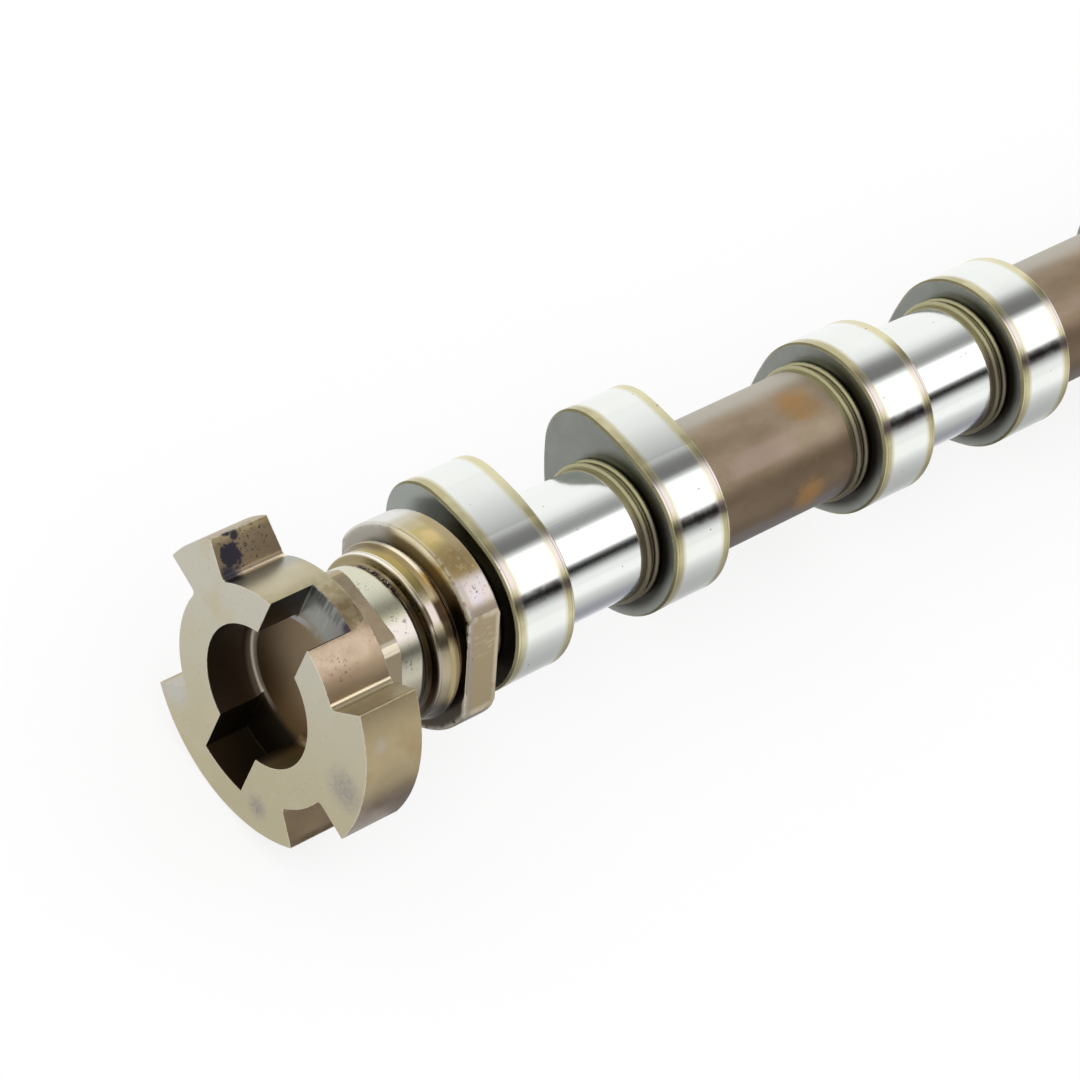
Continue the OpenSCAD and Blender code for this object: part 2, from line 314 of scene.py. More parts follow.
def claw_steel():
    """Champagne-coloured claw wheel, brown hexagon, ground neck and gold-tinted collars and flange, with
    reflections and shade painted in by turn round the shaft.
    """
    steel = Finish("claw_steel")
    x, r, turn = steel.x, steel.r, steel.turn
    wide_cloud = steel.cloud(9, 4, 0.55)
    fine_cloud = steel.cloud(1.4, 4, 0.6, shift=5)
    rings = grinding(steel)
    colour = wheel_colour(steel, wide_cloud, fine_cloud)
    for start, end, behind in (
            (WHEEL_BACK - 0.05, WHEEL_BACK + 0.05, hexagon_colour(steel, fine_cloud)),
            (HEX_BACK - 0.05, HEX_BACK + 0.05, neck_colour(steel, wide_cloud)),
            (UNDERCUT + 0.2, UNDERCUT + 0.4, collar_colour(steel, fine_cloud)),
            (FLANGE - 0.12, FLANGE - 0.04, flange_colour(steel, wide_cloud))):
        colour = steel.mix(steel.rise(x, start, end), colour, behind)

    # Pale edges, partly wear and partly painted edge highlights, and painted shade in the inner corners
    inside = inside_recess(steel)
    front = front_face(steel)
    dull_edges = steel.both(steel.band(x, UNDERCUT - 1.5, FLANGE - 0.2, 0.1), steel.past(98, 108))
    worn_edge_glint = steel.both(steel.edges(), steel.rise(steel.cloud(1.2, 4, 0.6, shift=51), 0.36, 0.5),
                      steel.rise(steel.hollows(1.5), 0.3, 0.05), steel.rise(inside, 0.6, 0.2),
                      steel.rise(dull_edges, 0.6, 0.3))
    colour = steel.tint(colour, worn_edge_glint, 0.6, (0.80, 0.76, 0.64))
    # Painted shade: darker deep in the inner corners
    crease_shade = steel.both(steel.hollows(1.2), steel.rise(fine_cloud, 0.40, 0.52))
    colour = steel.tint(colour, crease_shade, 0.45, (0.10, 0.075, 0.045))

    # Blue-black stain by the narrow claw
    stain = steel.either(steel.near(2.9, 16.9, 14.2, reach=2.1, soft=0.35, rough=0.8, grain=1.1),
                         steel.near(4.4, 19.0, 16.0, reach=0.8, soft=0.3),
                         steel.near(3.2, 20.0, 17.0, reach=1.0, soft=0.3, rough=0.9, grain=0.7),
                         steel.near(1.5, 14.3, 13.0, reach=1.8, soft=0.8))
    ragged = steel.both(steel.near(4.6, 18.4, 15.6, reach=5.2, soft=1.2),
                        steel.rise(steel.cloud(0.6, 4, 0.7, shift=7), 0.57, 0.63))
    stain = steel.both(steel.either(stain, ragged), steel.rise(x, 0.05, 0.3))
    colour = steel.tint(colour, stain, 0.93, (0.03, 0.032, 0.052))

    # Small pits and specks in clusters, and debris along the undercut
    pitted = steel.beside((19.5, 4.0, 12.4, 1.6), (21.4, -3.6, 12.5, 1.7), (20.9, -6.6, 11.2, 1.5),
                          (20.4, -9.9, 8.5, 1.6), (12.0, -5.6, 17.9, 2.4), (34.2, -6.3, 16.5, 2.4),
                          (8.0, 18.6, 15.6, 3.0), (4.0, -9.0, 16.5, 3.0))
    few = steel.both(steel.specks(1.3, 0.05, 0.17, 3),
                     steel.rise(steel.cloud(5, 2, 0.5, shift=13), 0.42, 0.62))
    marks = steel.either(steel.both(steel.dirt(0.75, 0.585, 61), pitted), few)
    marks = steel.both(marks, steel.rise(front, 0.9, 0.2), steel.rise(inside, 0.6, 0.2))
    colour = steel.tint(colour, marks, 0.72, (0.08, 0.06, 0.055))
    front_marks = steel.both(front, steel.either(steel.specks(0.5, 0.04, 0.3, 6), steel.dirt(0.6, 0.71, 63)))
    colour = steel.tint(colour, front_marks, 0.35, (0.18, 0.165, 0.14))
    grit = steel.both(steel.band(x, UNDERCUT - 0.75, UNDERCUT + 0.6, 0.15), steel.band(turn, 44, 93, 5))
    colour = steel.mix(steel.both(grit, steel.dirt(1.1, 0.44, 71)), colour, (0.035, 0.022, 0.035))
    colour = steel.mix(steel.both(grit, steel.dirt(0.45, 0.62, 73)), colour, (0.92, 0.88, 0.84))

    # Gloss, fine relief and rounding
    ground = steel.band(x, HEX_BACK, UNDERCUT - 0.4, 0.05)
    turned = steel.band(x, UNDERCUT - 0.4, FLANGE - 0.1, 0.05)
    roughness = steel.level(front, steel.level(wide_cloud, 0.30, 0.42), 0.45)
    roughness = steel.level(ground, roughness, 0.25)
    roughness = steel.level(turned, roughness, 0.24)
    roughness = steel.level(inside, roughness, 0.45)
    height = steel.level(ground, steel.calc("ADD", fine_cloud, steel.calc("MULTIPLY", rings, 0.5)),
                         steel.calc("MULTIPLY", rings, 0.3))
    flange_rim = steel.both(steel.band(x, FLANGE - 0.4, FLANGE + 1.6, 0.1), steel.rise(r, 15.6, 15.9))
    steel.rounded(flange_rim, 1.3)
    steel.follow_circle(steel.both(
        steel.either(steel.rise(x, WHEEL_BACK, WHEEL_BACK - 0.04), steel.rise(x, HEX_BACK, HEX_BACK + 0.04)),
        steel.either(steel.rise(x, FLANGE, FLANGE - 0.04), steel.rise(r, 17.4, 17.5))))
    steel.relief(height, 0.02)

    # Oil dulls the flange's front face and the back of the second collar
    collar_back = steel.both(steel.band(x, COLLAR_2 - 0.05, COLLAR_2 + 0.55, 0.08), steel.before(86, 98))
    dulled = steel.both(steel.either(steel.band(x, FLANGE - 0.15, FLANGE + 0.2, 0.05), collar_back),
                        steel.before(106, 118))
    metallic = steel.level(dulled, 1.0, steel.level(steel.rise(x, 29.4, 29.2), 0.3, 0.08))
    return steel.wear(colour, roughness, metallic)


def front_face(steel):
    """1 on the wheel's flat front face."""
    return steel.rise(steel.x, 0.12, 0.04)


def inside_recess(steel):
    """1 on the walls and the floor of the round recess and of the slot across it."""
    in_slot = steel.both(steel.rise(steel.calc("ABSOLUTE", steel.y), SLOT_HALF + 0.2, SLOT_HALF + 0.05),
                         steel.band(steel.z, *SLOT_ENDS, 0.1))
    return steel.both(steel.rise(steel.x, 0.1, 0.3),
                      steel.rise(steel.x, RECESS_FLOOR + 0.3, RECESS_FLOOR + 0.15),
                      steel.either(in_slot, steel.rise(steel.r, RECESS_R + 0.1, RECESS_R + 0.02)))


def wheel_colour(steel, wide_cloud, fine_cloud):
    """Hub, claws and front face of the wheel, with a painted highlight along the fillets at the claws' roots,
    and its recess.
    """
    r, turn = steel.r, steel.turn
    # Painted highlight: a bright line along the root fillets of two claws
    root_highlight = steel.both(steel.rise(r, 19.9, 19.5), steel.either(steel.band(turn, 40.9, 43.6, 0.5),
                                                            steel.band(turn, 131.7, 132.95, 0.25)))
    sides = steel.mix(root_highlight, claw_side_colour(steel, wide_cloud, fine_cloud), ROOT_HIGHLIGHT)
    hub = steel.mix(root_highlight, hub_colour(steel, wide_cloud, fine_cloud), ROOT_HIGHLIGHT)
    colour = steel.mix(steel.rise(r, HUB_R + 0.35, HUB_R + 0.1), sides, hub)
    colour = steel.mix(steel.rise(r, HUB_R + 5.5, HUB_R + 6.4), colour, claw_rim_colour(steel, wide_cloud))
    colour = steel.mix(front_face(steel), colour, front_colour(steel, wide_cloud))
    return steel.mix(inside_recess(steel), colour, recess_colour(steel, fine_cloud))


def front_colour(steel, wide_cloud):
    """Pale champagne front face with painted light, lighter towards its upper side, two grey smudges and
    paler claw tips.
    """
    # Painted light: the face is lighter towards +z and +y
    light_side = steel.rise(steel.calc("MULTIPLY_ADD", steel.y, 0.6, steel.z), -22, 26)
    colour = steel.mix(light_side, (0.515, 0.465, 0.315), (0.57, 0.55, 0.465))
    colour = steel.mix(steel.rise(wide_cloud, 0.5, 0.75), colour, (0.545, 0.495, 0.355))
    smudge = steel.either(steel.near(0, -21.6, 3.0, reach=3.0, soft=2.4, rough=0.35, grain=1.2),
                          steel.near(0, -8.8, -19.0, reach=1.7, soft=1.3, rough=0.5, grain=1.0))
    patchy = steel.rise(steel.cloud(0.7, 4, 0.65, shift=65), 0.34, 0.66)
    smudge = steel.both(smudge, steel.calc("MULTIPLY_ADD", patchy, 0.5, 0.5))
    colour = steel.tint(colour, smudge, 0.95, (0.33, 0.30, 0.275))
    dots = steel.both(smudge, steel.specks(0.45, 0.45, 0.3, 12))
    colour = steel.tint(colour, dots, 0.6, (0.13, 0.12, 0.13))
    pale_tip = steel.either(steel.near(0, 21.8, -11.5, reach=3.6, soft=1.8, rough=0.5),
                            steel.near(0, 15.0, -16.6, reach=3.2, soft=1.8, rough=0.5))
    return steel.tint(colour, pale_tip, 0.8, (0.54, 0.53, 0.50))


def claw_side_colour(steel, wide_cloud, fine_cloud):
    """Brown milled sides of the claws, with two of them painted paler as lit sides."""
    y, z = steel.y, steel.z
    colour = steel.shades(wide_cloud, (0.3, (0.24, 0.18, 0.11)), (0.7, (0.34, 0.26, 0.165)))
    # Painted light: an upper side and a lower side are painted paler, as lit sides
    lit_upper_side = steel.both(steel.rise(y, -11, -12.5), steel.rise(z, 8, 11))
    colour = steel.mix(lit_upper_side, colour, steel.mix(fine_cloud, (0.38, 0.34, 0.22), (0.52, 0.48, 0.33)))
    lit_lower_side = steel.both(steel.rise(y, 12, 14), steel.rise(z, 4, 0))
    return steel.mix(lit_lower_side, colour, (0.50, 0.46, 0.38))


def claw_rim_colour(steel, wide_cloud):
    """Tan rims of the claws, darker mauve brown low down as painted shade, with one worn spot."""
    colour = steel.shades(wide_cloud, (0.3, (0.36, 0.27, 0.14)), (0.55, (0.45, 0.365, 0.215)),
                          (0.75, (0.41, 0.335, 0.20)))
    # Painted shade: darker mauve brown low down on the rims
    mauve_painted_dark = steel.shades(steel.cloud(5, 4, 0.6, shift=23), (0.35, (0.155, 0.11, 0.07)),
                         (0.6, (0.225, 0.165, 0.12)))
    colour = steel.mix(steel.past(164, 178), colour, mauve_painted_dark)
    worn_spot = steel.near(3.0, -21.9, 13.4, reach=1.2, soft=0.9, rough=0.7, grain=1.2)
    return steel.tint(colour, worn_spot, 0.5, (0.50, 0.44, 0.37))


def hub_colour(steel, wide_cloud, fine_cloud):
    """Hub between the claws, with reflections and shade painted in bands round it: grey, champagne and
    mottled brown over the top, then a copper reflection of the lamp and brown shade.
    """
    turn = steel.turn
    mottled = steel.rise(fine_cloud, 0.4, 0.6)
    colour = steel.shades(wide_cloud, (0.3, (0.485, 0.43, 0.285)), (0.65, (0.585, 0.53, 0.39)))
    # Painted reflections in bands by turn round the hub
    colour = steel.mix(steel.before(46, 60), colour, (0.40, 0.42, 0.385))
    colour = steel.mix(steel.rise(turn, 66, 78), colour,
                       steel.mix(mottled, (0.37, 0.31, 0.175), (0.46, 0.41, 0.265)))
    colour = steel.mix(steel.rise(turn, 84, 90), colour,
                       steel.mix(mottled, (0.275, 0.21, 0.115), (0.365, 0.29, 0.17)))
    # Painted reflection of the lamp, copper-coloured
    copper_lamp_reflection = steel.shades(steel.cloud(3.5, 4, 0.6, shift=17), (0.3, (0.46, 0.345, 0.25)),
                          (0.6, (0.58, 0.455, 0.33)))
    ragged_turn = steel.calc("MULTIPLY_ADD", fine_cloud, 8.0, turn)
    colour = steel.mix(steel.rise(ragged_turn, 106, 112), colour, copper_lamp_reflection)
    # Painted shade: brown past the lamp's reflection
    brown = steel.mix(steel.rise(steel.x, 2, 9), (0.31, 0.22, 0.14), (0.35, 0.26, 0.165))
    return steel.mix(steel.past(115, 124), colour, brown)


def recess_colour(steel, fine_cloud):
    """Walls and floor painted dark with shade, darkest low down, a painted highlight on the floor's fillet,
    one olive wall painted as lit, and grey streaked steel at the slot's open mouth.
    """
    x, y, z = steel.x, steel.y, steel.z
    floor = steel.rise(x, RECESS_FLOOR - 0.4, RECESS_FLOOR - 0.1)
    # Painted highlight on the fillet between the floor and the wall
    fillet_highlight = steel.both(steel.rise(x, 7.6, 8.1), steel.band(steel.r, 10.15, 11.3, 0.25),
                        steel.rise(y, 0.5, 5))
    fillet_highlight_colour = steel.mix(steel.rise(z, -3, 4), (0.80, 0.74, 0.62), (0.45, 0.44, 0.43))
    streaks = steel.cloud(1.0, 3, 0.6, stretch=(0.2, 1.4, 0.12), shift=4)
    grey = steel.mix(steel.rise(y, 3.2, -4.2), (0.37, 0.375, 0.345), (0.255, 0.25, 0.23))
    grey = steel.mix(steel.rise(streaks, 0.5, 0.68), grey, (0.405, 0.415, 0.395))
    dark_mouth = steel.both(steel.rise(z, 15.2, 17.2), steel.rise(streaks, 0.36, 0.54))
    grey = steel.mix(dark_mouth, grey, (0.17, 0.17, 0.165))
    # Painted shade: a brown floor, darkest low down
    floor_colour = steel.mix(steel.rise(z, -9, 3), (0.165, 0.105, 0.047), (0.26, 0.195, 0.12))
    floor_colour = steel.mix(steel.rise(z, -10, -12.5), floor_colour, (0.03, 0.024, 0.015))
    ragged_z = steel.calc("MULTIPLY_ADD", fine_cloud, 3.0, z)
    floor_colour = steel.mix(steel.rise(ragged_z, 10.5, 14.5), floor_colour, grey)
    corner = steel.near(8.5, -4.6, 18.0, reach=1.3, soft=0.6, rough=0.5, grain=0.8)
    floor_colour = steel.tint(floor_colour, corner, 0.85, (0.05, 0.035, 0.06))
    # Painted shade: dark walls, with one lower wall painted olive as lit
    wall_colour = steel.mix(steel.rise(z, -8, -17), (0.075, 0.054, 0.04), (0.07, 0.05, 0.028))
    lit_olive_wall = steel.both(steel.rise(y, -4.9, -7.5), steel.rise(z, -2, -8))
    wall_colour = steel.mix(lit_olive_wall, wall_colour, (0.46, 0.36, 0.17))
    wall_colour = steel.mix(steel.rise(z, 12, 15), wall_colour, (0.028, 0.025, 0.022))
    return steel.mix(fillet_highlight, steel.mix(floor, wall_colour, floor_colour), fillet_highlight_colour)


def hexagon_colour(steel, fine_cloud):
    """Brown milled flats, painted paler or darker flat by flat as lit and shaded, with painted highlights on
    the corners past the top.
    """
    flat = steel.shades(fine_cloud, (0.3, (0.36, 0.29, 0.19)), (0.7, (0.45, 0.37, 0.25)))
    # Painted light and shade: flats paler or darker by turn
    paler_lit = steel.shades(fine_cloud, (0.3, (0.46, 0.36, 0.24)), (0.7, (0.55, 0.44, 0.30)))
    flat = steel.mix(steel.past(80, 92), flat, paler_lit)
    flat = steel.mix(steel.past(120.5, 122), flat, (0.30, 0.245, 0.165))
    # Painted highlight on the corners past the top
    corner = steel.rise(steel.r, 14.88, 15.12)
    return steel.mix(corner, flat, steel.mix(steel.past(96, 112), (0.47, 0.39, 0.25), (0.84, 0.74, 0.58)))


def neck_colour(steel, wide_cloud):
    """Ground bright neck with painted reflections: a darker band, a pinkish reflection of the lamp and darker
    shade low down, an olive line at the undercut, and painted shade in the groove.
    """
    x, turn = steel.x, steel.turn
    bright = steel.mix(steel.rise(wide_cloud, 0.4, 0.7), (0.70, 0.69, 0.54), (0.65, 0.635, 0.50))
    # Painted reflections and shade in bands by turn round the neck
    colour = steel.mix(steel.rise(turn, 88, 97), bright, (0.57, 0.545, 0.40))
    colour = steel.mix(steel.rise(turn, 103, 112), colour, (0.73, 0.665, 0.615))
    colour = steel.mix(steel.past(119, 127), colour, (0.54, 0.515, 0.41))
    colour = steel.mix(steel.past(148, 158), colour, (0.41, 0.375, 0.28))
    olive_line = steel.both(steel.rise(x, UNDERCUT - 1.1, UNDERCUT - 0.7), steel.before(92, 100))
    colour = steel.mix(olive_line, colour, (0.42, 0.37, 0.19))
    # Painted shade in the undercut groove, wider on the side
    widened = steel.calc("MULTIPLY_ADD", steel.rise(turn, 120, 158), 0.9, x)
    groove_shade = steel.rise(widened, UNDERCUT - 0.45, UNDERCUT - 0.15)
    return steel.mix(groove_shade, colour,
                     steel.mix(steel.before(92, 100), (0.04, 0.033, 0.025), (0.15, 0.125, 0.075)))


def collar_colour(steel, fine_cloud):
    """Two turned collars painted with their reflections: bright highlights on the crests on top, a pinkish
    reflection of the lamp, and painted shade in the valleys.
    """
    x, turn = steel.x, steel.turn
    top = steel.before(93, 104)
    lamp_band = steel.band(turn, 107, 121, 3)

    def zone(on_top, at_lamp, at_side):
        return steel.mix(top, steel.mix(lamp_band, at_side, at_lamp), on_top)

    # Painted shade in the front valley, lighter on top
    front_slope = steel.mix(steel.before(77, 86), (0.14, 0.105, 0.042), (0.33, 0.27, 0.15))
    colour = zone(front_slope, (0.05, 0.032, 0.015), (0.05, 0.038, 0.024))
    # Painted highlight on the first crest
    crest_1 = steel.mix(steel.before(66, 80), (0.98, 0.89, 0.68), (0.99, 0.95, 0.85))
    narrowed = steel.calc("MULTIPLY_ADD", steel.before(70, 82), 0.12, x)
    colour = steel.mix(steel.rise(narrowed, COLLAR_1 - 0.45, COLLAR_1 - 0.1), colour,
                       zone(crest_1, (0.14, 0.115, 0.075), (0.45, 0.40, 0.315)))
    # Gold between the crests, with the lamp's pinkish reflection painted on it
    gold = steel.mix(fine_cloud, (0.40, 0.31, 0.105), (0.46, 0.36, 0.135))
    colour = steel.mix(steel.rise(x, COLLAR_1 + 0.35, COLLAR_1 + 0.65), colour,
                       zone(gold, (0.66, 0.575, 0.52), (0.44, 0.385, 0.26)))
    # Painted shade in the second valley, darkest past the lamp
    colour = steel.mix(steel.rise(x, 26.9, 27.4), colour,
                       zone((0.34, 0.25, 0.115), (0.06, 0.035, 0.02), (0.40, 0.33, 0.18)))
    # Painted highlight on the second crest
    crest_2 = steel.mix(steel.before(82, 92), (0.52, 0.33, 0.09), (1.0, 0.89, 0.70))
    colour = steel.mix(steel.rise(x, COLLAR_2 - 0.5, COLLAR_2 - 0.3), colour,
                       zone(crest_2, (0.07, 0.04, 0.02), (0.25, 0.185, 0.10)))
    # Painted shade on the back slope
    back_slope = steel.rise(steel.calc("MULTIPLY_ADD", top, -0.45, x), COLLAR_2 + 0.1, COLLAR_2 + 0.3)
    colour = steel.mix(back_slope, colour, (0.22, 0.15, 0.07))
    # Painted shade: a darker band on top and one past the lamp's reflection
    shade = steel.either(steel.both(steel.before(50, 64), steel.rise(x, 26.0, 27.4)),
                         steel.band(turn, 125, 137, 3))
    colour = steel.tint(colour, shade, 0.6, (0.10, 0.075, 0.04))
    # Painted shade: a dark patch on the second collar past the lamp's reflection
    dark_patch = steel.both(steel.rise(x, 27.15, 27.5), steel.band(turn, 117.5, 133, 3))
    colour = steel.tint(colour, dark_patch, 0.92, (0.035, 0.022, 0.012))
    # Painted shade underneath
    return steel.mix(steel.past(172, 188), colour, (0.075, 0.06, 0.045))


def flange_colour(steel, wide_cloud):
    """Rim, two flats, front face and front edge of the flange, with reflections and shade painted round the
    rim and on the face, and a painted highlight on the front edge.
    """
    x, r, turn = steel.x, steel.r, steel.turn
    flat = steel.both(steel.rise(across_flats(steel), 14.9, 14.97), steel.rise(steel.facing_x, 0.5, 0.4),
                      steel.rise(steel.facing_x, -0.5, -0.4))
    colour = steel.mix(flat, flange_rim_colour(steel, wide_cloud), flat_colour(steel, wide_cloud))
    # Painted reflection of the lamp: a pinkish strip near the rim's front
    pink_strip = steel.both(steel.rise(x, 31.9, 31.1), steel.past(100, 109))
    colour = steel.tint(colour, pink_strip, 0.55, (0.36, 0.30, 0.27))
    # Painted shade: a brown strip by the front edge past the top
    brown_strip = steel.both(steel.rise(x, 30.9, 30.4), steel.past(78, 88))
    colour = steel.tint(colour, brown_strip, 0.9,
                        steel.mix(steel.rise(turn, 98, 108), (0.275, 0.215, 0.08), (0.34, 0.28, 0.20)))

    # Painted shade on the front face, darker round the shaft past the top
    face = steel.mix(steel.rise(turn, 42, 60), (0.44, 0.41, 0.35), (0.20, 0.145, 0.062))
    face = steel.mix(steel.rise(turn, 78, 90), face, (0.175, 0.11, 0.03))
    face = steel.mix(steel.rise(turn, 94, 106), face, (0.10, 0.06, 0.022))
    face = steel.mix(steel.past(116, 130), face, (0.055, 0.045, 0.032))
    colour = steel.mix(steel.rise(steel.facing_x, -0.6, -0.9), colour, face)
    # Painted highlight on the front edge
    lit_edge = steel.both(steel.band(turn, 57, 104, 7), steel.rise(r, 15.9, 17.05),
                          steel.rise(r, 17.6, 17.35), steel.rise(x, FLANGE + 0.25, FLANGE + 0.05))
    return steel.mix(lit_edge, colour,
                     steel.mix(steel.rise(turn, 82, 94), (0.97, 0.86, 0.59), (0.46, 0.33, 0.10)))


def flange_rim_colour(steel, wide_cloud):
    """Grey, gold, brown and lilac bands round the flange: gold patches, with grey on top, brown and lilac
    painted as reflections of the dark card and the lamp, and painted shade past them.
    """
    turn = steel.turn
    # Painted reflections in bands by turn: grey on top, then gold
    colour = steel.mix(steel.rise(turn, 46, 54), (0.80, 0.79, 0.755), (0.63, 0.58, 0.475))
    colour = steel.mix(steel.rise(turn, 54, 62), colour, (0.55, 0.48, 0.295))
    patches = steel.rise(wide_cloud, 0.42, 0.6)
    gold = steel.mix(patches, (0.515, 0.43, 0.21), (0.57, 0.455, 0.175))
    colour = steel.mix(steel.rise(turn, 63, 69), colour, gold)
    bright_gold = steel.near(32.8, 4.6, 17.1, reach=1.6, soft=1.0, rough=0.7)
    colour = steel.tint(colour, bright_gold, 0.6, (0.80, 0.585, 0.29))
    # Painted reflection of the dark card: brown
    brown = steel.mix(patches, (0.38, 0.275, 0.12), (0.44, 0.33, 0.155))
    ragged_turn = steel.calc("MULTIPLY_ADD", wide_cloud, 6.0, turn)
    colour = steel.mix(steel.rise(ragged_turn, 82, 92), colour, brown)
    # Painted reflection of the lamp: lilac
    lilac_patches = steel.rise(steel.cloud(2.2, 3, 0.5, stretch=(1, 0.5, 0.5), shift=27), 0.45, 0.65)
    lilac_lamp_reflection = steel.mix(lilac_patches, (0.69, 0.61, 0.56), (0.69, 0.635, 0.66))
    colour = steel.mix(steel.rise(turn, 101, 108), colour, lilac_lamp_reflection)
    # Painted shade past the lamp's reflection
    colour = steel.mix(steel.past(117, 123), colour, (0.34, 0.275, 0.21))
    scuffs = steel.both(steel.dirt(0.9, 0.57, 41), steel.near(34.2, -1.8, 17.5, reach=2.6, soft=1.4, rough=0))
    colour = steel.tint(colour, scuffs, 0.6, (0.68, 0.54, 0.33))
    back_edge = steel.both(steel.rise(steel.x, 33.6, 34.8), steel.band(turn, 58, 92, 6))
    return steel.mix(back_edge, colour, (0.46, 0.37, 0.21))


def across_flats(steel):
    """Distance from the axis towards either flat of the flange."""
    return steel.calc("ABSOLUTE", steel.calc(
        "ADD", steel.calc("MULTIPLY", steel.y, math.cos(FLATS_TURN)),
        steel.calc("MULTIPLY", steel.z, math.sin(FLATS_TURN))))


def flat_colour(steel, wide_cloud):
    """Tan milled flat with a painted highlight along its border and a few scrapes."""
    along_flat = steel.calc("ABSOLUTE", steel.calc(
        "SUBTRACT", steel.calc("MULTIPLY", steel.z, math.cos(FLATS_TURN)),
        steel.calc("MULTIPLY", steel.y, math.sin(FLATS_TURN))))
    from_middle = steel.calc("ABSOLUTE", steel.calc("SUBTRACT", steel.x, FLANGE_MIDDLE))
    colour = steel.mix(wide_cloud, (0.37, 0.295, 0.175), (0.44, 0.355, 0.225))
    strokes = steel.rise(steel.cloud(1.0, 3, 0.6, stretch=(0.4, 1, 1.6), shift=43), 0.52, 0.6)
    scraped = steel.both(steel.near(33.4, -12.2, 9.8, reach=2.8, soft=1.2, rough=0), strokes)
    colour = steel.tint(colour, scraped, 0.4, (0.66, 0.57, 0.42))
    # Painted highlight along the flat's border
    border_highlight = steel.both(steel.either(steel.rise(from_middle, 2.2, 2.9), steel.rise(along_flat, 7.9, 8.9)),
                        steel.rise(steel.cloud(3, 3, 0.5, shift=44), 0.3, 0.5))
    return steel.tint(colour, border_highlight, 0.7, (0.68, 0.61, 0.47))


def beside_pairs(steel, *reaches):
    """1 within these reaches, each from and to, of the middle of every pair of cams."""
    return steel.either(*(steel.band(steel.x, middle + start, middle + end, 0.08)
                          for start, end in reaches for middle in PAIR_MIDDLES))


def tube_steel():
    """Rough brown tube with rust, and bright ground lands between the cams of a pair, with light, shade and
    the lamp's reflection painted round it.
    """
    steel = Finish("tube_steel")
    turn = steel.turn
    brown_cloud = steel.cloud(7, 4, 0.55, stretch=(0.5, 1, 1))
    fine_cloud = steel.cloud(0.9, 4, 0.65, shift=3)
    brown = steel.shades(brown_cloud, (0.25, (0.29, 0.215, 0.14)), (0.5, (0.37, 0.285, 0.195)),
                         (0.75, (0.45, 0.365, 0.265)))
    # Painted light on top, and painted shade past the lamp and underneath
    brown = steel.mix(steel.before(52, 74), brown, (0.52, 0.48, 0.41))
    shaded_brown = steel.shades(brown_cloud, (0.3, (0.18, 0.125, 0.075)), (0.7, (0.245, 0.18, 0.125)))
    brown = steel.mix(steel.past(118, 138), brown, shaded_brown)
    brown = steel.mix(steel.past(166, 180), brown, (0.25, 0.215, 0.20))
    # Painted reflection of the lamp, pinkish
    lamp_pink = steel.both(steel.rise(steel.cloud(8, 3, 0.5, stretch=(0.35, 1, 1), shift=21), 0.47, 0.60),
                      steel.band(turn, 104, 119, 4))
    lamp_pink = steel.either(lamp_pink, steel.both(steel.near(102, -5.0, 10.5, reach=7.5, soft=2.2),
                                         steel.band(turn, 105, 123, 3)))
    brown = steel.tint(brown, lamp_pink, 0.55, (0.45, 0.34, 0.285))
    rust = steel.both(steel.rise(steel.cloud(7, 4, 0.6, shift=11), 0.63, 0.74),
                      steel.rise(fine_cloud, 0.35, 0.6))
    rust = steel.either(rust, steel.near(114.5, 0.6, 11.6, reach=3.4, soft=2.0),
                        steel.near(111.2, -11.3, 2.6, reach=3.0, soft=1.8))
    brown = steel.tint(brown, rust, 0.7, (0.46, 0.26, 0.09))

    land = beside_pairs(steel, LAND_REACH)
    silver = steel.mix(steel.cloud(12, 3, 0.5, shift=8), (0.85, 0.875, 0.84), (0.92, 0.945, 0.915))
    # Painted shade on the underside of the lands
    silver = steel.mix(steel.past(163, 178), silver, (0.59, 0.60, 0.67))
    colour = steel.mix(land, brown, silver)
    # Beads: painted highlight on their crests, painted shade past the top
    bead_crest_highlight = steel.rise(steel.r, 11.75, 12.0)
    olive = steel.mix(bead_crest_highlight, (0.37, 0.345, 0.20), (0.45, 0.42, 0.25))
    shaded_olive = steel.mix(bead_crest_highlight, (0.15, 0.13, 0.09), (0.185, 0.16, 0.11))
    beads = beside_pairs(steel, *BEADS_REACH)
    colour = steel.mix(beads, colour, steel.mix(steel.past(96, 130), olive, shaded_olive))
    pits = steel.both(land, steel.specks(0.7, 0.025, 0.3, shift=2))
    colour = steel.tint(colour, pits, 0.5, (0.12, 0.11, 0.11))
    roughness = steel.level(land, steel.level(brown_cloud, 0.58, 0.48), 0.12)
    roughness = steel.level(beads, roughness, 0.42)
    height = steel.level(land, fine_cloud, steel.calc("MULTIPLY", grinding(steel, 0.12, 40), 0.12))
    steel.follow_circle()
    steel.relief(height, 0.03)
    return steel.wear(colour, roughness)


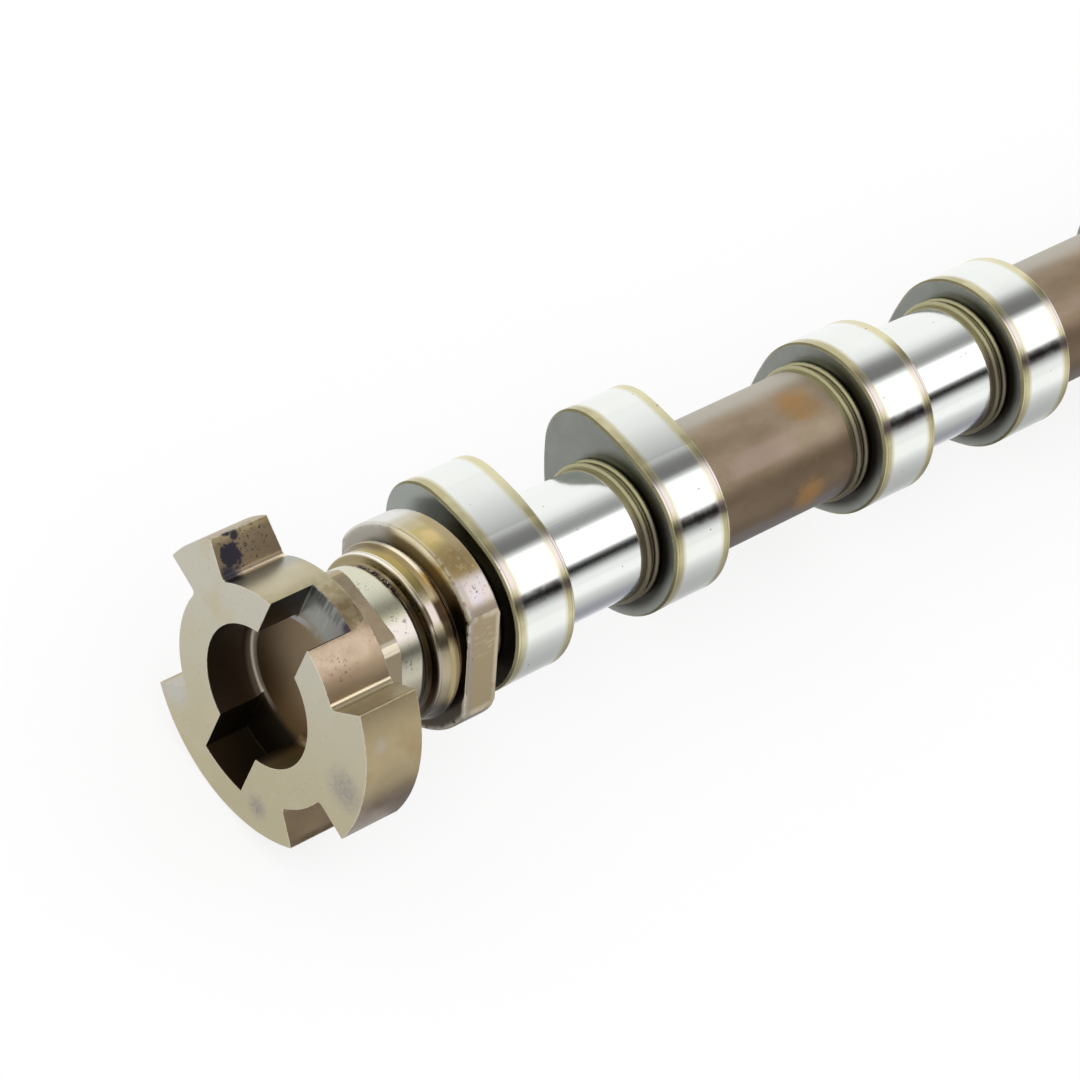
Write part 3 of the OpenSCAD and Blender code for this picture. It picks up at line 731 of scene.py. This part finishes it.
def cam_steel(number):
    """Ground silver running surface between two unground olive margins, and grey-olive faces, with
    reflections painted in bands round the shaft and painted shade on the faces.
    """
    steel = Finish("cam_steel_%d" % (number + 1))
    x, r, turn = steel.x, steel.r, steel.turn
    middle = CAM_MIDDLES[number]
    edge = CAM_WIDTH / 2
    across = steel.calc("ABSOLUTE", steel.calc("SUBTRACT", x, middle))
    frayed = steel.calc("MULTIPLY_ADD", steel.cloud(5, 3, 0.5, shift=number + 4.0), 0.5, across)
    margin = steel.rise(frayed, edge - 2.4, edge - 1.6)
    back = steel.rise(x, middle, middle + 2)
    cloud = steel.cloud(8, 4, 0.55, shift=number * 3.0)

    # Margins, with reflections painted in bands round them: the back one paler on top, and pinkish where the
    # lamp reflects
    silver = steel.mix(cloud, (0.84, 0.865, 0.825), (0.92, 0.945, 0.91))
    olive = steel.mix(steel.rise(cloud, 0.4, 0.65), (0.50, 0.455, 0.26), (0.66, 0.61, 0.385))
    olive = steel.mix(steel.band(turn, 84, 99, 3), olive, (0.60, 0.54, 0.31))
    olive = steel.tint(olive, steel.both(back, steel.before(76, 84)), 0.6, (0.86, 0.81, 0.53))
    olive = steel.mix(steel.band(turn, 99, 122, 5), olive, (0.74, 0.66, 0.61))
    colour = steel.tint(silver, margin, 0.75, steel.mix(back, (0.62, 0.565, 0.36), (0.76, 0.71, 0.48)))
    colour = steel.mix(steel.rise(frayed, edge - 1.7, edge - 1.3), colour, olive)
    line = steel.both(steel.band(across, edge - 0.92, edge - 0.80, 0.09), steel.past(80, 92))
    colour = steel.tint(colour, line, 0.6, (0.12, 0.10, 0.07))

    # Painted reflections on the running surface: a dark band and a mauve band
    painted_dark_band = steel.both(steel.rise(turn, 84, 94), steel.rise(turn, 103, 99.5), steel.rise(r, 17.2, 16.0),
                           steel.rise(margin, 1.6, 0.2))
    colour = steel.tint(colour, painted_dark_band, 0.5, (0.14, 0.13, 0.12))
    mauve_painted_dark = steel.both(steel.band(turn, 127, 135, 1.5),
                       steel.rise(steel.cloud(2.4, 4, 0.6, shift=number + 30.0), 0.42, 0.58))
    colour = steel.tint(colour, mauve_painted_dark, 0.7, (0.40, 0.28, 0.31))
    colour = steel.mix(steel.rise(across, edge - 0.42, edge - 0.34), colour, (0.20, 0.18, 0.10))

    # Flat faces, the first cam's painted lighter than the others', with painted shade near the tube, and most
    # of all on the first cam
    if number == 0:
        greys = (0.29, 0.31, 0.285), (0.39, 0.415, 0.39)
        painted_face_shade = steel.both(steel.rise(r, 18.6, 17.6), steel.past(24, 44),
                          steel.calc("MULTIPLY_ADD", steel.rise(turn, 54, 80), 0.64, 0.36))
    else:
        greys = (0.21, 0.22, 0.20), (0.30, 0.315, 0.29)
        painted_face_shade = steel.both(steel.rise(r, 15.2, 13.0), steel.past(60, 96))
    face = steel.rise(steel.calc("ABSOLUTE", steel.facing_x), 0.9, 0.97)
    face_colour = steel.mix(steel.cloud(5, 4, 0.6, shift=number + 9.0), *greys)
    face_colour = steel.tint(face_colour, painted_face_shade, 0.92, (0.025, 0.02, 0.015))
    colour = steel.mix(face, colour, face_colour)

    # Pale edges, partly wear and partly painted edge highlights
    worn_edge_glint = steel.both(steel.edges(), steel.rise(steel.cloud(1.5, 4, 0.6, shift=number + 20.0), 0.42, 0.55))
    colour = steel.tint(colour, worn_edge_glint, 0.3, (0.74, 0.71, 0.52))
    marks = steel.both(steel.specks(0.8, 0.012, 0.3, shift=number * 1.7), steel.rise(face, 0.9, 0.1))
    colour = steel.tint(colour, marks, 0.6, (0.12, 0.09, 0.09))
    roughness = steel.level(face, steel.level(margin, 0.11, 0.22), 0.36)
    height = steel.calc("MULTIPLY", grinding(steel, 0.12, 40, number * 2.0), 0.12)
    steel.follow_circle(steel.rise(r, 15.75, 15.62))
    steel.relief(height, 0.03)
    return steel.wear(colour, roughness)


def dress(name, material):
    """Gives a solid this material alone."""
    slots = nodes[name].data.materials
    slots.clear()
    slots.append(material)


dress("end_piece", claw_steel())
dress("shaft_tube", tube_steel())
for number in range(len(CAM_MIDDLES)):
    dress("cam_lobe_%d" % (number + 1), cam_steel(number))

# Where the shaft rests, in metres: how far along it and how far below its axis the claw wheel's rim and
# the last cam touch the floor
RIM_TOUCH = (0.0112, 0.0257)
CAM_TOUCH = (0.3416, 0.0156)
FLOOR_SLOPE = math.atan2(RIM_TOUCH[1] - CAM_TOUCH[1], CAM_TOUCH[0] - RIM_TOUCH[0])

# The high card bends round the shaft between two turns, in degrees, and the low one, a painted shadow of the
# shaft, lies under the cams. Their sizes are in metres.
HIGH_CARD_R = 0.85
HIGH_CARD_TURNS = (34, 178)
HIGH_CARD_ENDS = (0.06, 2.2)
LOW_CARD_SIZE = (0.8, 0.24)
LOW_CARD_MIDDLE = 0.422

# How much of the white sheet's look is its own glow
SHEET_GLOW = 0.8


def stage_piece(name, shape, material):
    """Makes a piece of the studio from a bmesh."""
    mesh = bpy.data.meshes.new(name)
    shape.to_mesh(mesh)
    shape.free()
    mesh.materials.append(material)
    piece = bpy.data.objects.new(name, mesh)
    bpy.context.scene.collection.objects.link(piece)
    return piece


def on_the_floor(shape, height):
    """Tips a level shape to the floor's slope and lowers it to this height above the floor."""
    bmesh.ops.rotate(shape, verts=shape.verts, cent=(0, 0, 0), matrix=Matrix.Rotation(-FLOOR_SLOPE, 3, "Y"))
    drop = -RIM_TOUCH[1] - RIM_TOUCH[0] * math.tan(FLOOR_SLOPE) + height
    bmesh.ops.translate(shape, verts=shape.verts, vec=(0, 0, drop))


def white_sheet():
    """White floor that glows for the camera and in reflections, and otherwise takes light and shadow."""
    paint = Paint("white_sheet")
    shader = paint.node("ShaderNodeBsdfPrincipled")
    shader.inputs["Base Color"].default_value = (0.96, 0.96, 0.96, 1)
    shader.inputs["Roughness"].default_value = 0.9
    shader.inputs["Specular IOR Level"].default_value = 0.0
    ray = paint.node("ShaderNodeLightPath")
    looked_at = paint.calc("MAXIMUM", ray.outputs["Is Camera Ray"], ray.outputs["Is Glossy Ray"])
    looked_at = paint.calc("MAXIMUM", looked_at, ray.outputs["Is Transmission Ray"])
    white = paint.node("ShaderNodeEmission")
    material = paint.show(paint.calc("MULTIPLY", looked_at, SHEET_GLOW), shader.outputs[0], white.outputs[0])
    shape = bmesh.new()
    bmesh.ops.create_grid(shape, x_segments=1, y_segments=1, size=4.0)
    on_the_floor(shape, -0.00002)
    stage_piece("white_sheet", shape, material)


def card_paint(name, share_at, stops):
    """Black paint that thins out to nothing. The function share_at turns y and z in metres into 0 to 1."""
    paint = Paint(name)
    y, z = paint.parts(paint.node("ShaderNodeTexCoord").outputs["Object"])[1:]
    dark = paint.shades(share_at(paint, y, z), *((position, (shade,) * 3) for position, shade in stops))
    clear = paint.node("ShaderNodeBsdfTransparent")
    black = paint.node("ShaderNodeEmission")
    black.inputs["Strength"].default_value = 0.0
    return paint.show(dark, clear.outputs[0], black.outputs[0])


def half_turn(paint, y, z):
    """0 at +Y, 0.5 on top and 1 at -Y."""
    return paint.calc("DIVIDE", paint.calc("ARCTAN2", z, y), math.pi)


def fifth_metre(paint, y, z):
    """0 below the axis and 1 at 0.2 m from there, towards the camera's side."""
    return paint.calc("DIVIDE", y, -0.2)


def only_in_reflections(piece):
    """Hides a piece from the camera and the light, but not from the metal's gloss."""
    piece.visible_camera = False
    piece.visible_diffuse = False
    piece.visible_shadow = False
    piece.visible_transmission = False
    piece.visible_volume_scatter = False


def dark_cards():
    """Dark cards beside the lamp, and a painted shadow of the shaft on the floor, seen only in the metal's
    reflections.
    """
    by_turn = ((36, 0.0), (46, 0.05), (54, 0.14), (62, 0.34), (70, 0.55), (78, 0.67), (86, 0.68),
               (91, 0.50), (96, 0.06), (99, 0.0), (138, 0.0), (141.5, 0.70), (146, 0.98), (151, 1.0),
               (156, 0.80), (161, 0.47), (167, 0.15), (171, 0.08))
    paint = card_paint("high_card", half_turn, [(degrees / 180, shade) for degrees, shade in by_turn])
    shape = bmesh.new()
    start, end = (math.radians(turn) for turn in HIGH_CARD_TURNS)
    y, z = HIGH_CARD_R * math.cos(start), HIGH_CARD_R * math.sin(start)
    ends = [shape.verts.new((along, y, z)) for along in HIGH_CARD_ENDS]
    edge = shape.edges.new(ends)
    bmesh.ops.spin(shape, geom=ends + [edge], cent=(0, 0, 0), axis=(1, 0, 0), dvec=(0, 0, 0),
                   angle=end - start, steps=72)
    only_in_reflections(stage_piece("high_card", shape, paint))

    # Painted shadow of the shaft on the floor, seen only in reflections
    by_millimetre = ((8, 0.0), (16, 0.42), (22, 0.52), (31, 0.52), (38, 0.48), (48, 0.42), (62, 0.30),
                     (85, 0.13), (110, 0.0))
    paint = card_paint("floor_shadow_card", fifth_metre, [(out / 200, shade) for out, shade in by_millimetre])
    shape = bmesh.new()
    bmesh.ops.create_grid(shape, x_segments=1, y_segments=1, size=0.5)
    bmesh.ops.scale(shape, verts=shape.verts, vec=(*LOW_CARD_SIZE, 1))
    bmesh.ops.translate(shape, verts=shape.verts, vec=(LOW_CARD_MIDDLE, 0, 0))
    on_the_floor(shape, 0.0001)
    only_in_reflections(stage_piece("floor_shadow_card", shape, paint))


def long_lamp():
    """Soft strip lamp that runs along the shaft, 1 m above it on the camera's side."""
    turn = math.radians(117)
    away = Vector((0, math.cos(turn), math.sin(turn)))
    across = away.cross(Vector((1, 0, 0)))
    lamp = bpy.data.lights.new("long_lamp", "AREA")
    lamp.shape = "RECTANGLE"
    lamp.size = 3.2
    lamp.size_y = 0.86
    lamp.energy = 2.4
    piece = bpy.data.objects.new("long_lamp", lamp)
    facing = Matrix((Vector((1, 0, 0)), across, away)).transposed().to_4x4()
    piece.matrix_world = Matrix.Translation(Vector((0.3, 0, 0)) + away) @ facing
    piece.visible_camera = False
    bpy.context.scene.collection.objects.link(piece)


def white_room():
    """Even white light from all sides."""
    world = bpy.data.worlds.new("white_room")
    bpy.context.scene.world = world
    world.use_nodes = True
    sky = world.node_tree.nodes["Background"]
    sky.inputs["Color"].default_value = (1, 1, 1, 1)
    sky.inputs["Strength"].default_value = 1.0


def camera():
    """The photograph's viewing angle: from above the claw end, with a long lens."""
    lens = bpy.data.cameras.new("camera")
    lens.lens = 142.2
    lens.sensor_width = 36.0
    lens.clip_start = 0.05
    lens.clip_end = 20.0
    piece = bpy.data.objects.new("camera", lens)
    place = Vector((-0.34654, -0.22386, 0.51269))
    right = Vector((0.730603, -0.606202, 0.314225))
    up = Vector((0.344796, 0.724759, 0.596522))
    back = Vector((-0.589351, -0.327477, 0.738528))
    piece.matrix_world = Matrix.Translation(place) @ Matrix((right, up, back)).transposed().to_4x4()
    bpy.context.scene.collection.objects.link(piece)
    bpy.context.scene.camera = piece


white_sheet()
dark_cards()
long_lamp()
white_room()
camera()
bpy.context.scene.view_settings.view_transform = "Standard"
